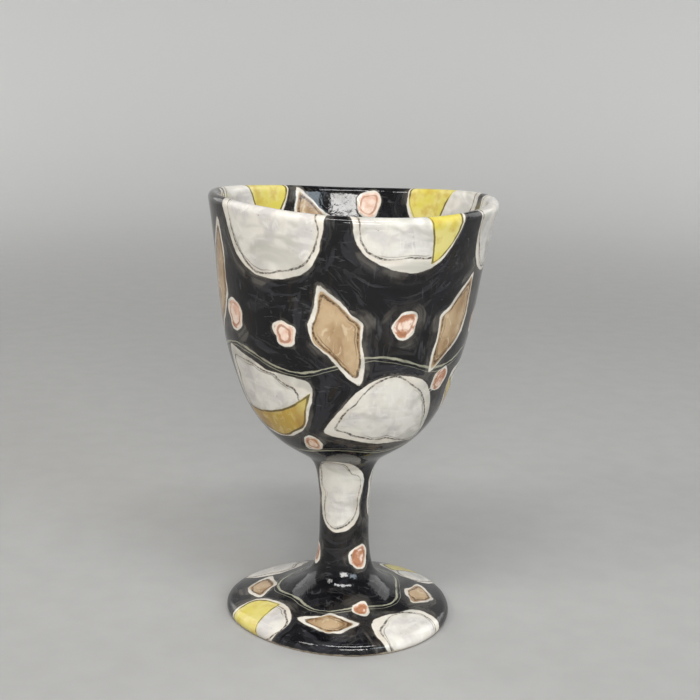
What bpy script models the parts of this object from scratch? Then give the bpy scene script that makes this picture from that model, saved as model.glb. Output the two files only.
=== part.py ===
"""Hand-made stoneware goblet: a deep bowl on a thrown stem and a domed foot.

The bowl, the stem and the foot are turned clay forms. A fillet of clay closes each of the
two joints. The mouth is slightly square and saddle-shaped, and the foot isn't quite round.
"""

import math

import bmesh
import bpy
from mathutils import Vector
from mathutils.geometry import interpolate_bezier

# Driving sizes, in metres

MOUTH_HEIGHT = 0.1495
MOUTH_RADIUS = 0.0502
BELLY_HEIGHT = 0.091
BELLY_RADIUS = 0.0388
WALL = 0.0042
BOWL_FLOOR = 0.0062

FOOT_RADIUS = 0.0403
FOOT_EDGE = 0.0034
FOOT_EDGE_ROUND = 0.0012
FOOT_WALL = 0.0046
FOOT_RING = 0.0052

STEM_WAIST_RADIUS = 0.00885
STEM_END_RADIUS = 0.0094
STEM_FOOT_HEIGHT = 0.0125
STEM_TOP_HEIGHT = 0.0580
BORE_RADIUS = 0.0038
BORE_TOP = 0.0480

FILLET_REACH = 0.0062
FILLET_HEIGHT = 0.0080
FILLET_LIP = 0.0004
JOINT_GAP = 0.0003

# How far the hand-made form strays from true

STEM_DRIFT = -0.0016
FOOT_DRIFT = -0.0014
BELLY_DRIFT = -0.0005
MOUTH_SQUARENESS = 0.0005
SQUARE_CORNER_ANGLE = math.radians(35.0)
SADDLE_RISE = 0.0014
SADDLE_ANGLE = math.radians(8.0)
MOUTH_TILT = 0.0010
TILT_ANGLE = math.radians(185.0)
FOOT_OVAL = 0.026
OVAL_ANGLE = math.radians(-28.0)
FOOT_LOBES = 0.022
LOBE_ANGLE = math.radians(45.0)

# Fineness of the turned surfaces

WIDE_SEGMENTS = 60
STEM_SEGMENTS = 36
CURVE_STEPS = 2
LIP_STEPS = 6
EDGE_STEPS = 3
SHARP_ANGLE = math.radians(40.0)

BLACK_GLAZE = (0.022, 0.021, 0.024, 1.0)
CREAM_GLAZE = (0.62, 0.58, 0.50, 1.0)
GLAZE_ROUGHNESS = 0.16


# Outer corners of the two joints, shared by the pieces that meet there

bowl_joint = (STEM_END_RADIUS + FILLET_REACH, STEM_TOP_HEIGHT + 0.55 * FILLET_REACH)
foot_joint = (STEM_END_RADIUS + FILLET_REACH, STEM_FOOT_HEIGHT - 0.08 * FILLET_REACH)


def ease(value, low, high):
    """Rise smoothly from 0 at low to 1 at high."""
    t = min(max((value - low) / (high - low), 0.0), 1.0)
    return t * t * (3.0 - 2.0 * t)


def settle(x, y, z):
    """Move a point of the true turned form to its place on the hand-made one."""
    radius = math.hypot(x, y)
    angle = math.atan2(y, x)
    mouth = min(max((z - BELLY_HEIGHT) / (MOUTH_HEIGHT - BELLY_HEIGHT), 0.0), 1.0) ** 2
    spread = ease(radius, STEM_END_RADIUS, FOOT_RADIUS)
    foot = spread * (1.0 - ease(z, STEM_FOOT_HEIGHT, STEM_TOP_HEIGHT))
    squareness = MOUTH_SQUARENESS / MOUTH_RADIUS * math.cos(4.0 * (angle - SQUARE_CORNER_ANGLE))
    oval = FOOT_OVAL * math.cos(2.0 * (angle - OVAL_ANGLE))
    lobes = FOOT_LOBES * math.cos(3.0 * (angle - LOBE_ANGLE))
    grown = radius * (1.0 + foot * (oval + lobes) + mouth * squareness)
    saddle = SADDLE_RISE * math.cos(2.0 * (angle - SADDLE_ANGLE))
    tilt = MOUTH_TILT * math.cos(angle - TILT_ANGLE)
    drift = STEM_DRIFT + BELLY_DRIFT * ease(z, STEM_TOP_HEIGHT, BELLY_HEIGHT)
    drift = drift * (1.0 - mouth) + FOOT_DRIFT * (1.0 - ease(z, 0.0, 2.0 * STEM_FOOT_HEIGHT))
    return Vector((
        drift + grown * math.cos(angle),
        grown * math.sin(angle),
        z + mouth * (saddle + tilt) * radius / MOUTH_RADIUS,
    ))


def smooth(points):
    """Run a smooth curve through (radius, height) points."""
    knots = [Vector(point) for point in points]
    tangents = []
    for index, knot in enumerate(knots):
        before = knots[max(index - 1, 0)]
        after = knots[min(index + 1, len(knots) - 1)]
        tangents.append((after - before).normalized())
    curve = [knots[0]]
    for index in range(len(knots) - 1):
        start, end = knots[index], knots[index + 1]
        reach = (end - start).length / 3.0
        leave = start + tangents[index] * reach
        arrive = end - tangents[index + 1] * reach
        curve += interpolate_bezier(start, leave, arrive, end, CURVE_STEPS + 1)[1:]
    return [(point.x, point.y) for point in curve]


def inset(curve, distance):
    """Shift a curve that runs up and outwards, by a distance towards the axis."""
    shifted = []
    for index, (radius, height) in enumerate(curve):
        before = Vector(curve[max(index - 1, 0)])
        after = Vector(curve[min(index + 1, len(curve) - 1)])
        along = (after - before).normalized()
        shifted.append((radius - along.y * distance, height + along.x * distance))
    return shifted


def round_edge(centre, radius, start, end, steps):
    """List the points of an arc between two angles, its end points left out."""
    points = []
    for step in range(1, steps):
        angle = start + (end - start) * step / steps
        points.append((centre[0] + radius * math.cos(angle), centre[1] + radius * math.sin(angle)))
    return points


def ring_of(shape, radius, height, segments):
    """Add one ring of vertices, or a single one on the axis."""
    if radius <= 0.0:
        return [shape.verts.new(settle(0.0, 0.0, height))]
    ring = []
    for segment in range(segments):
        angle = 2.0 * math.pi * segment / segments
        ring.append(shape.verts.new(settle(radius * math.cos(angle), radius * math.sin(angle), height)))
    return ring


def bridge(shape, first, second):
    """Close the band between two neighbouring rings."""
    count = max(len(first), len(second))
    for segment in range(count):
        following = (segment + 1) % count
        if len(first) == 1:
            shape.faces.new((first[0], second[following], second[segment]))
        elif len(second) == 1:
            shape.faces.new((first[segment], first[following], second[0]))
        else:
            shape.faces.new((first[segment], first[following], second[following], second[segment]))


def turned(name, outline, colour, segments, looped):
    """Turn an outline about the axis, settle it and make it an object."""
    shape = bmesh.new()
    rings = [ring_of(shape, radius, height, segments) for radius, height in outline]
    for index in range(len(rings) - 1):
        bridge(shape, rings[index], rings[index + 1])
    if looped:
        bridge(shape, rings[-1], rings[0])
    bmesh.ops.recalc_face_normals(shape, faces=shape.faces)
    mesh = bpy.data.meshes.new(name)
    shape.to_mesh(mesh)
    shape.free()
    mesh.shade_smooth()
    mesh.set_sharp_from_angle(angle=SHARP_ANGLE)
    piece = bpy.data.objects.new(name, mesh)
    bpy.context.scene.collection.objects.link(piece)
    mesh.materials.append(glaze(name, colour))
    return piece


def glaze(name, colour):
    """Make the glossy glaze of one piece."""
    material = bpy.data.materials.new(name)
    material.use_nodes = True
    shader = material.node_tree.nodes["Principled BSDF"]
    shader.inputs["Base Color"].default_value = colour
    shader.inputs["Roughness"].default_value = GLAZE_ROUGHNESS
    shader.inputs["Metallic"].default_value = 0.0
    return material


def bowl_outside():
    """List the outer curve of the bowl from its joint up to its mouth."""
    rise = MOUTH_HEIGHT - BELLY_HEIGHT
    flare = MOUTH_RADIUS - BELLY_RADIUS
    drop = BELLY_HEIGHT - bowl_joint[1]
    reach = BELLY_RADIUS - bowl_joint[0]
    return smooth([
        bowl_joint,
        (bowl_joint[0] + 0.35 * reach, bowl_joint[1] + 0.18 * drop),
        (bowl_joint[0] + 0.60 * reach, bowl_joint[1] + 0.38 * drop),
        (bowl_joint[0] + 0.83 * reach, bowl_joint[1] + 0.66 * drop),
        (BELLY_RADIUS, BELLY_HEIGHT),
        (BELLY_RADIUS + 0.31 * flare, BELLY_HEIGHT + 0.20 * rise),
        (BELLY_RADIUS + 0.51 * flare, BELLY_HEIGHT + 0.43 * rise),
        (BELLY_RADIUS + 0.68 * flare, BELLY_HEIGHT + 0.67 * rise),
        (BELLY_RADIUS + 0.86 * flare, BELLY_HEIGHT + 0.87 * rise),
        (MOUTH_RADIUS, MOUTH_HEIGHT),
    ])


def make_bowl():
    """Make the bowl: a wall of even thickness with a round lip and a thicker floor."""
    outside = bowl_outside()
    inside = inset(outside, WALL)
    outer_lip, inner_lip = Vector(outside[-1]), Vector(inside[-1])
    lean = math.atan2(outer_lip.y - inner_lip.y, outer_lip.x - inner_lip.x)
    lip = round_edge((outer_lip + inner_lip) / 2.0, WALL / 2.0, lean, lean + math.pi, LIP_STEPS)
    floor_height = STEM_TOP_HEIGHT + BOWL_FLOOR
    floor = [(0.5 * inside[0][0], floor_height), (0.0, floor_height)]
    underside = [(0.0, STEM_TOP_HEIGHT), (STEM_END_RADIUS, STEM_TOP_HEIGHT)]
    outline = underside + outside + lip + inside[::-1] + floor
    return turned("bowl", outline, BLACK_GLAZE, WIDE_SEGMENTS, looped=False)


def stem_outside():
    """List the outer curve of the stem from its foot end to its bowl end."""
    low = STEM_FOOT_HEIGHT + JOINT_GAP
    high = STEM_TOP_HEIGHT - JOINT_GAP
    length = high - low
    bulge = STEM_END_RADIUS - STEM_WAIST_RADIUS
    return smooth([
        (STEM_END_RADIUS, low),
        (STEM_END_RADIUS - 0.2 * bulge, low + 0.20 * length),
        (STEM_WAIST_RADIUS, low + 0.42 * length),
        (STEM_WAIST_RADIUS, low + 0.58 * length),
        (STEM_END_RADIUS - 0.4 * bulge, low + 0.74 * length),
        (STEM_END_RADIUS, low + 0.88 * length),
        (STEM_END_RADIUS, high),
    ])


def make_stem():
    """Make the stem: a waisted column with a narrow bore that is open at the foot."""
    outside = stem_outside()
    low, high = outside[0][1], outside[-1][1]
    crown = round_edge((0.0, BORE_TOP), BORE_RADIUS, 0.5 * math.pi, 0.0, EDGE_STEPS)
    bore = [(0.0, BORE_TOP + BORE_RADIUS)] + crown + [(BORE_RADIUS, BORE_TOP), (BORE_RADIUS, low)]
    outline = bore + outside + [(0.0, high)]
    return turned("stem", outline, BLACK_GLAZE, STEM_SEGMENTS, looped=False)


def make_bowl_fillet():
    """Make the clay fillet under the bowl: a concave ring around the stem's upper end."""
    inner = STEM_END_RADIUS + JOINT_GAP
    outer = bowl_joint[0]
    top = STEM_TOP_HEIGHT - JOINT_GAP
    bottom = STEM_TOP_HEIGHT - 0.75 * FILLET_HEIGHT
    rise = bowl_joint[1] - STEM_TOP_HEIGHT
    hollow = smooth([
        (outer, top + rise - FILLET_LIP),
        (inner + 0.46 * FILLET_REACH, top + 0.08 * FILLET_HEIGHT),
        (inner + 0.26 * FILLET_REACH, top - 0.12 * FILLET_HEIGHT),
        (inner + 0.12 * FILLET_REACH, top - 0.40 * FILLET_HEIGHT),
        (inner + FILLET_LIP, bottom),
    ])
    outline = [(inner, bottom), (inner, top), (outer, top + rise)] + hollow
    return turned("bowl_fillet", outline, BLACK_GLAZE, STEM_SEGMENTS, looped=True)


def make_foot_fillet():
    """Make the clay fillet on the foot: a concave ring around the stem's lower end."""
    inner = STEM_END_RADIUS + JOINT_GAP
    outer = foot_joint[0]
    low = STEM_FOOT_HEIGHT + JOINT_GAP
    edge = foot_joint[1] + JOINT_GAP
    top = STEM_FOOT_HEIGHT + FILLET_HEIGHT
    hollow = smooth([
        (inner + FILLET_LIP, top),
        (inner + 0.20 * FILLET_REACH, low + 0.60 * FILLET_HEIGHT),
        (inner + 0.46 * FILLET_REACH, low + 0.26 * FILLET_HEIGHT),
        (outer, edge + FILLET_LIP),
    ])
    outline = [(inner, top)] + hollow + [(outer, edge), (inner, low)]
    return turned("foot_fillet", outline, BLACK_GLAZE, STEM_SEGMENTS, looped=True)


def foot_outside():
    """List the top of the foot from the stem joint out to its edge."""
    fall = foot_joint[1] - FOOT_EDGE
    reach = FOOT_RADIUS - foot_joint[0]
    return smooth([
        foot_joint,
        (foot_joint[0] + 0.18 * reach, foot_joint[1] - 0.31 * fall),
        (foot_joint[0] + 0.38 * reach, foot_joint[1] - 0.48 * fall),
        (foot_joint[0] + 0.60 * reach, foot_joint[1] - 0.61 * fall),
        (foot_joint[0] + 0.82 * reach, foot_joint[1] - 0.79 * fall),
        (foot_joint[0] + 0.965 * reach, foot_joint[1] - 0.95 * fall),
        (FOOT_RADIUS, 0.5 * FOOT_EDGE),
    ])


def make_foot():
    """Make the foot: a low dome, hollow beneath, that stands on a flat ring."""
    top = foot_outside()
    stand_outer = FOOT_RADIUS - FOOT_EDGE_ROUND
    stand_inner = stand_outer - FOOT_RING
    hollow_height = STEM_FOOT_HEIGHT - FOOT_WALL
    hollow = smooth([
        (stand_inner, 0.0),
        (stand_inner - 0.3 * FOOT_RING, 0.22 * hollow_height),
        (0.70 * stand_inner, 0.46 * hollow_height),
        (0.45 * stand_inner, 0.72 * hollow_height),
        (BORE_RADIUS, hollow_height),
    ])
    centre = (stand_outer, FOOT_EDGE_ROUND)
    edge = round_edge(centre, FOOT_EDGE_ROUND, 0.0, -0.5 * math.pi, EDGE_STEPS)
    pad = [(BORE_RADIUS, STEM_FOOT_HEIGHT), (STEM_END_RADIUS, STEM_FOOT_HEIGHT)]
    outline = pad + top + edge + [(stand_outer, 0.0)] + hollow
    return turned("foot", outline, CREAM_GLAZE, WIDE_SEGMENTS, looped=True)


for leftover in list(bpy.data.objects):
    bpy.data.objects.remove(leftover, do_unlink=True)

make_bowl()
make_bowl_fillet()
make_stem()
make_foot_fillet()
make_foot()
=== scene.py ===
"""Looks of a hand-made stoneware goblet: its painted, glazed surface, a floor, lamps and a camera."""

import math

import bmesh
import bpy
import numpy as np
from mathutils import Matrix, Vector, noise


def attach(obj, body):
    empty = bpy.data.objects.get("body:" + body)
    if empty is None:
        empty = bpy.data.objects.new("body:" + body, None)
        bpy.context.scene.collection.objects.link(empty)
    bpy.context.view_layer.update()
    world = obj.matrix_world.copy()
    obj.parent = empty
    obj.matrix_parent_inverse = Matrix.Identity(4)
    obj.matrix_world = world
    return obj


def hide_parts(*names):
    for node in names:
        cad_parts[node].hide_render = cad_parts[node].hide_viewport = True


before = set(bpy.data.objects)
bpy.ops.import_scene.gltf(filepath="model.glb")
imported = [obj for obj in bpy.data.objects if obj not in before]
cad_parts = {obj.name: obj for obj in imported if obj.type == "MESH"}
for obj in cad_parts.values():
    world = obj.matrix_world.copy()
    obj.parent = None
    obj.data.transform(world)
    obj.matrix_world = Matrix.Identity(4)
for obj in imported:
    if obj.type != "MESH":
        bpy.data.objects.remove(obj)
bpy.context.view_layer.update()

MM = 0.001
TINY = 1e-6

# Sizes of the solids that the surfaces follow, in millimetres

MOUTH_HEIGHT = 149.5
MOUTH_RADIUS = 50.2
BELLY_HEIGHT = 91.0
STEM_TOP_HEIGHT = 58.0
STEM_FOOT_HEIGHT = 12.5
STEM_END_RADIUS = 9.4
FOOT_RADIUS = 40.3
WALL = 4.2
BOWL_FLOOR_HEIGHT = 64.2
BORE_RADIUS = 3.8
BORE_TOP = 48.0
JOINT_GAP = 0.3

# How far the hand-made form strays from true, as in the solids

STEM_DRIFT = -1.6
FOOT_DRIFT = -1.4
BELLY_DRIFT = -0.5
MOUTH_SQUARENESS = 0.5
SQUARE_CORNER_ANGLE = math.radians(35.0)
SADDLE_RISE = 1.4
SADDLE_ANGLE = math.radians(8.0)
MOUTH_TILT = 1.0
TILT_ANGLE = math.radians(185.0)
FOOT_OVAL = 0.026
OVAL_ANGLE = math.radians(-28.0)
FOOT_LOBES = 0.022
LOBE_ANGLE = math.radians(45.0)

# Fineness of the surfaces: spacings are in millimetres, and softening is a count of rounds

SEGMENTS = 320
SPACING = 1.0
COARSE_SPACING = 2.0
FINE_SPACING = 0.25
POINTS_PER_MM = 5
SOFTENING = 30
HOLLOW_SOFTENING = 10
INNER_SOFTENING = 8 * SOFTENING
LIP_STEPS = 8

# The bowl's inside meets its floor in a soft bend, and the floor is level over a share of its radius

FLOOR_BEND = 0.6
LEVEL_SHARE = 0.55

# Marks of the hand, in millimetres: slow dents and faint ripples, calm at the foot and the axis

DENT_SIZE = 30.0
DENT_DEPTH = 0.4
RIPPLE_SIZE = 10.0
RIPPLE_DEPTH = 0.07
RIPPLE_SHIFT = Vector((5.0, 2.0, 9.0))
CALM_HEIGHT = 6.0
CALM_RADIUS = 8.0

# The curve as (radius, height) knots: the hollow underneath, then from the standing ring to the mouth

HOLLOW_KNOTS = [(3.8, 7.9), (9.0, 7.2), (15.26, 5.69), (23.73, 3.63), (32.34, 1.74), (33.9, 0.0)]
FOOT_KNOTS = [
    (39.1, 0.0), (39.95, 0.35), (40.3, 1.2), (40.25, 2.3), (39.4, 3.75), (35.85, 5.2), (30.4, 6.75),
    (25.0, 7.95), (20.05, 9.6), (15.6, 12.45),
]
FOOT_FILLET_KNOTS = [(12.7, 14.9), (11.0, 17.7), (10.0, 20.7)]
STEM_KNOTS = [(9.3, 25.5), (8.95, 31.0), (8.9, 38.0), (9.2, 45.0), (9.85, 51.5)]
BOWL_FILLET_KNOTS = [(10.35, 54.3), (11.5, 57.4), (13.2, 59.6), (15.6, 61.4)]
BOWL_KNOTS = [
    (19.4, 63.75), (23.7, 66.7), (29.5, 72.6), (34.85, 80.95), (38.8, 91.0), (42.3, 102.7),
    (44.6, 116.2), (46.55, 130.2), (48.6, 141.9), (50.2, 149.5),
]


def ease(value, low, high):
    """Rise smoothly from 0 at low to 1 at high."""
    t = np.clip((value - low) / (high - low), 0.0, 1.0)
    return t * t * (3.0 - 2.0 * t)


def settle(radius, height, angle):
    """Move points of the true turned form to their places on the hand-made one."""
    mouth = np.clip((height - BELLY_HEIGHT) / (MOUTH_HEIGHT - BELLY_HEIGHT), 0.0, 1.0) ** 2
    spread = ease(radius, STEM_END_RADIUS, FOOT_RADIUS)
    foot = spread * (1.0 - ease(height, STEM_FOOT_HEIGHT, STEM_TOP_HEIGHT))
    squareness = MOUTH_SQUARENESS / MOUTH_RADIUS * np.cos(4.0 * (angle - SQUARE_CORNER_ANGLE))
    oval = FOOT_OVAL * np.cos(2.0 * (angle - OVAL_ANGLE))
    lobes = FOOT_LOBES * np.cos(3.0 * (angle - LOBE_ANGLE))
    grown = radius * (1.0 + foot * (oval + lobes) + mouth * squareness)
    saddle = SADDLE_RISE * np.cos(2.0 * (angle - SADDLE_ANGLE))
    tilt = MOUTH_TILT * np.cos(angle - TILT_ANGLE)
    drift = STEM_DRIFT + BELLY_DRIFT * ease(height, STEM_TOP_HEIGHT, BELLY_HEIGHT)
    drift = drift * (1.0 - mouth) + FOOT_DRIFT * (1.0 - ease(height, 0.0, 2.0 * STEM_FOOT_HEIGHT))
    x = drift + grown * np.cos(angle)
    y = grown * np.sin(angle)
    z = height + mouth * (saddle + tilt) * radius / MOUTH_RADIUS
    return np.stack(np.broadcast_arrays(x, y, z), axis=-1)


def lengths_along(curve):
    """Measure how far each point lies along a curve."""
    return np.concatenate([[0.0], np.cumsum(np.linalg.norm(np.diff(curve, axis=0), axis=1))])


def evenly(curve, spacing):
    """Space the points of a curve evenly along it."""
    length = lengths_along(curve)
    places = np.linspace(0.0, length[-1], max(2, round(length[-1] / spacing)) + 1)
    return np.stack([np.interp(places, length, curve[:, axis]) for axis in (0, 1)], axis=1)


def soften(curve, rounds):
    """Pull each point of a curve halfway to its neighbours' middle, round after round."""
    for _ in range(rounds):
        curve[1:-1] += 0.5 * (0.5 * (curve[:-2] + curve[2:]) - curve[1:-1])
    return curve


def flowing(knots, spacing, softening=SOFTENING):
    """Run a soft curve through knots, with its points evenly spaced."""
    knots = np.array(knots)
    chord = lengths_along(knots)
    slopes = np.stack([np.gradient(knots[:, axis], chord) for axis in (0, 1)], axis=1)
    places = np.linspace(0.0, chord[-1], int(chord[-1] * POINTS_PER_MM))
    index = np.clip(np.searchsorted(chord, places, side="right") - 1, 0, len(chord) - 2)
    step = (chord[index + 1] - chord[index])[:, None]
    t = (places[:, None] - chord[index][:, None]) / step
    curve = (2 * t**3 - 3 * t**2 + 1) * knots[index] + (t**3 - 2 * t**2 + t) * step * slopes[index]
    curve += (3 * t**2 - 2 * t**3) * knots[index + 1] + (t**3 - t**2) * step * slopes[index + 1]
    return evenly(soften(curve, softening), spacing)


def normals_of(curve):
    """Find the direction that leaves the clay at each point of a curve."""
    along = np.gradient(curve, axis=0)
    along /= np.linalg.norm(along, axis=1)[:, None]
    return np.stack([along[:, 1], -along[:, 0]], axis=1)


def inner_curve(outer):
    """Shift the bowl's outer curve inwards by the wall, and end it at the centre of a level floor."""
    wall = outer - WALL * normals_of(outer)
    wall = wall[wall[:, 1] > BOWL_FLOOR_HEIGHT + FLOOR_BEND][::-1]
    level = np.array([(LEVEL_SHARE * wall[-1, 0], BOWL_FLOOR_HEIGHT), (0.0, BOWL_FLOOR_HEIGHT)])
    curve = soften(evenly(np.concatenate([wall, level]), FINE_SPACING), INNER_SOFTENING)
    return evenly(curve, SPACING)


def half_circle(start, end):
    """Round the lip over from the outer wall to the inner one, its end points left out."""
    centre, reach = (start + end) / 2.0, (start - end) / 2.0
    up = np.array([-reach[1], reach[0]])
    turns = np.linspace(0.0, math.pi, LIP_STEPS + 1)[1:-1, None]
    return centre + reach * np.cos(turns) + up * np.sin(turns)


def next_to(knot):
    """Find the point of the outer curve that lies next to a knot."""
    return int(np.argmin(np.linalg.norm(outside - knot, axis=1)))


# The whole visible curve, from the bore under the foot, over the lip, to the middle of the bowl's floor

hollow = flowing(HOLLOW_KNOTS, COARSE_SPACING, HOLLOW_SOFTENING)
ring = evenly(np.array([HOLLOW_KNOTS[-1], FOOT_KNOTS[0]]), COARSE_SPACING)
outside = flowing(FOOT_KNOTS + FOOT_FILLET_KNOTS + STEM_KNOTS + BOWL_FILLET_KNOTS + BOWL_KNOTS, SPACING)
bowl_start = next_to(BOWL_FILLET_KNOTS[-1])
inside = inner_curve(outside[bowl_start:])
lip = half_circle(outside[-1], inside[0])
visible = np.concatenate([hollow[:-1], ring[:-1], outside, lip, inside])
visible_normals = normals_of(visible)
visible_lengths = lengths_along(visible)
under_count = len(hollow) + len(ring) - 2
LIP = visible_lengths[under_count + len(outside) + len(lip) // 2]
FLOOR_CENTRE = visible_lengths[-1]
foot_end = under_count + next_to(FOOT_KNOTS[-1])
foot_fillet_end = under_count + next_to(FOOT_FILLET_KNOTS[-1])
stem_end = under_count + next_to(STEM_KNOTS[-1])
bowl_fillet_end = under_count + bowl_start
angles = np.linspace(0.0, 2.0 * math.pi, SEGMENTS, endpoint=False)

# The foot's edge bulges over these points, and its top begins after them

EDGE_POINTS = 6


def at_height(height):
    """Say how far along the visible curve the outer wall of the stem or bowl reaches a height."""
    rising = slice(foot_end, under_count + len(outside))
    return float(np.interp(height, visible[rising, 1], visible_lengths[rising]))


def at_radius(radius):
    """Say how far along the visible curve the top of the foot has a radius."""
    top = slice(under_count + EDGE_POINTS, foot_fillet_end)
    return float(np.interp(-radius, -visible[top, 0], visible_lengths[top]))


# Painted shapes: each is a distance in millimetres from its edge, less than zero inside

FRONT = math.radians(-90.0)
FAR = 12.0
LEAST_RADIUS = 1.0
SOFT_CORNER = 3.0
DOME_POWER = 2.2
DOME_MIDDLE = 0.4
DOME_UNEVENNESS = 0.7
LOZENGE_MARGIN = 0.6
POINT_ROUNDING = 0.9
POINT_TRIM = 0.4
BOW = 0.012
WASH_INSET = 0.7
WASH_WAVE = 0.4
WASH_WAVE_PACE = 0.5
LINE_WANDER = 0.75

# How much of a shape's size lies in the calm middle, where its outline doesn't waver

CALM_SHARE = 0.3
DOME_CALM_SHARE = 0.25

# Waves in an outline: their share, their count round the shape, and whether they zigzag

OUTLINE_WAVES = [(0.55, 2, False), (0.4, 3, True), (0.24, 5, True), (0.1, 8, False)]


class Sheet:
    """The points that a piece's shapes are painted on, as angle, radius and place along the curve."""

    def __init__(self, lengths, radii):
        self.angle = np.broadcast_to(angles, (len(lengths), SEGMENTS))
        self.length = np.broadcast_to(lengths[:, None], self.angle.shape)
        self.radius = np.broadcast_to(np.maximum(radii, LEAST_RADIUS)[:, None], self.angle.shape)

    def around(self, turn, place, tilt):
        """Give each point's place across and along a shape, in the shape's own directions."""
        centre = FRONT + math.radians(turn)
        if place >= FLOOR_CENTRE:
            reach = FLOOR_CENTRE - self.length
            across, along = reach * np.cos(self.angle - centre), reach * np.sin(self.angle - centre)
        else:
            across = (self.angle - centre + math.pi) % (2.0 * math.pi) - math.pi
            across = across * self.radius
            along = self.length - place
        lean = math.radians(tilt)
        return (
            across * math.cos(lean) + along * math.sin(lean),
            along * math.cos(lean) - across * math.sin(lean),
        )


def wobble(x, y, seed, amount, size):
    """Draw an outline by hand: bend it in and out as it goes round."""
    phases = np.random.default_rng(seed).uniform(0.0, 2.0 * math.pi, len(OUTLINE_WAVES))
    turn = np.arctan2(y, x)
    waves = np.zeros(turn.shape)
    for (share, count, zigzag), phase in zip(OUTLINE_WAVES, phases):
        rise = np.sin(count * turn + phase)
        waves += share * (np.arcsin(rise) if zigzag else rise)
    return amount * ease(np.hypot(x, y), 0.0, size) * waves


def blob(x, y, half_width, half_height, power):
    """Measure a rounded shape: power 2 gives an oval, and more a pebble."""
    ax, ay = np.abs(x) / half_width, np.abs(y) / half_height
    size = np.maximum((ax**power + ay**power) ** (1.0 / power), TINY)
    slope = np.hypot((ax / size) ** (power - 1.0) / half_width, (ay / size) ** (power - 1.0) / half_height)
    return (size - 1.0) / np.maximum(slope, TINY)


def painted(outline, turn, place, tilt, seed, amount, margin):
    """Make a painted shape: its edge, and the pencil line that was drawn a margin inside it."""
    def measure(sheet):
        x, y = sheet.around(turn, place, tilt)
        edge, across, along, calm = outline(x, y)
        edge = edge + wobble(across, along, seed, amount, calm)
        line = edge + margin + wobble(across, along, seed + 1, LINE_WANDER * margin, calm)
        return edge, line
    return measure


def pebble(turn, place, width, height, tilt, seed, amount, margin, power=2.3):
    """Paint a rounded shape of a width and height."""
    def outline(x, y):
        return blob(x, y, 0.5 * width, 0.5 * height, power), x, y, CALM_SHARE * min(width, height)
    return painted(outline, turn, place, tilt, seed, amount, margin)


def dome(turn, place, width, height, tilt, seed, margin=1.9):
    """Paint half an oval, flat below and round above."""
    def outline(x, y):
        flat = -y
        oval = blob(x, y, 0.5 * width, height, DOME_POWER)
        corner = np.maximum(1.0 - np.abs(oval - flat) / SOFT_CORNER, 0.0)
        edge = np.maximum(oval, flat) + 0.25 * SOFT_CORNER * corner**2
        return edge, x, y - DOME_MIDDLE * height, DOME_CALM_SHARE * min(width, height)
    return painted(outline, turn, place, tilt, seed, DOME_UNEVENNESS, margin)


def lozenge(turn, place, width, height, tilt, seed, amount):
    """Paint a diamond with slightly rounded points."""
    def outline(x, y):
        half_width, half_height = 0.5 * width, 0.5 * height
        across = np.sqrt(x * x + POINT_ROUNDING) - POINT_TRIM
        along = np.sqrt(y * y + POINT_ROUNDING) - POINT_TRIM
        edge = (across / half_width + along / half_height - 1.0) * half_width * half_height
        return edge / math.hypot(half_width, half_height), x, y, CALM_SHARE * width
    return painted(outline, turn, place, tilt, seed, amount, LOZENGE_MARGIN)


def part_of(whole, turn, place, tilt):
    """Paint the part of a shape that lies below a slightly bowed line."""
    def measure(sheet):
        x, y = sheet.around(turn, place, tilt)
        edge = whole(sheet)[0] + WASH_INSET + WASH_WAVE * np.sin(WASH_WAVE_PACE * x)
        edge = np.maximum(edge, y - BOW * x * x)
        return edge, edge
    return measure


def nearest(sheet, shapes):
    """Join shapes of one colour into one pair of distances."""
    edge = np.full(sheet.angle.shape, FAR)
    line = np.full(sheet.angle.shape, FAR)
    for shape in shapes:
        shape_edge, shape_line = shape(sheet)
        closer = shape_edge < edge
        edge = np.where(closer, shape_edge, edge)
        line = np.where(closer, shape_line, line)
    return edge, line


def wave(sheet, place, rise, count, start):
    """Measure a thin line that runs round the goblet in waves."""
    phase = count * (sheet.angle - FRONT) + start
    slope = rise * count * np.cos(phase) / sheet.radius
    return (sheet.length - place - rise * np.sin(phase)) / np.hypot(1.0, slope)


# Columns of the shapes: turn in degrees, place along the curve, width, height, tilt in degrees and seed,
# then a pebble's unevenness, pencil margin and power, a dome's margin, or a lozenge's unevenness

RIM_DISCS = [
    pebble(-34, LIP - 1.0, 41, 44, 6, 11, 0.9, 2.2),
    pebble(22, LIP + 1.0, 39, 40, -8, 14, 0.9, 2.6),
    pebble(78, LIP - 1.0, 38, 45, 5, 15, 0.9, 1.8),
    pebble(131, LIP + 1.0, 36, 39, 0, 17, 0.9, 2.2),
    pebble(236, LIP - 0.5, 40, 42, -6, 19, 0.9, 2.0),
]

HALF_DISCS = [
    dome(-42, at_height(99.5), 38, 30, 168, 31, 2.4),
    dome(20, at_height(72.5), 39, 29, -15, 33, 2.1),
    dome(88, at_height(99.5), 36, 28, 192, 35, 1.8),
    dome(154, at_height(73.5), 39, 27, 15, 37, 2.4),
    dome(228, at_height(100.0), 38, 28, 174, 39, 2.0),
]

STEM_SHAPES = [
    pebble(-12, at_height(49.0), 17, 32, 2, 52, 0.9, 1.6, 2.4),
    pebble(108, at_height(50.0), 16, 28, -3, 53, 0.8, 1.5),
    pebble(228, at_height(47.5), 17, 31, 3, 55, 0.8, 1.7),
]

FOOT_DISCS = [
    pebble(-55, at_radius(38.5), 27, 25, 0, 61, 0.9, 1.6, 2.1),
    pebble(42, at_radius(38.5), 27, 23, 0, 66, 0.8, 1.8, 2.1),
    pebble(131, at_radius(38.5), 25, 24, 0, 65, 0.9, 1.5, 2.1),
    pebble(225, at_radius(38.5), 28, 25, 0, 67, 0.9, 1.8, 2.1),
]

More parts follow.
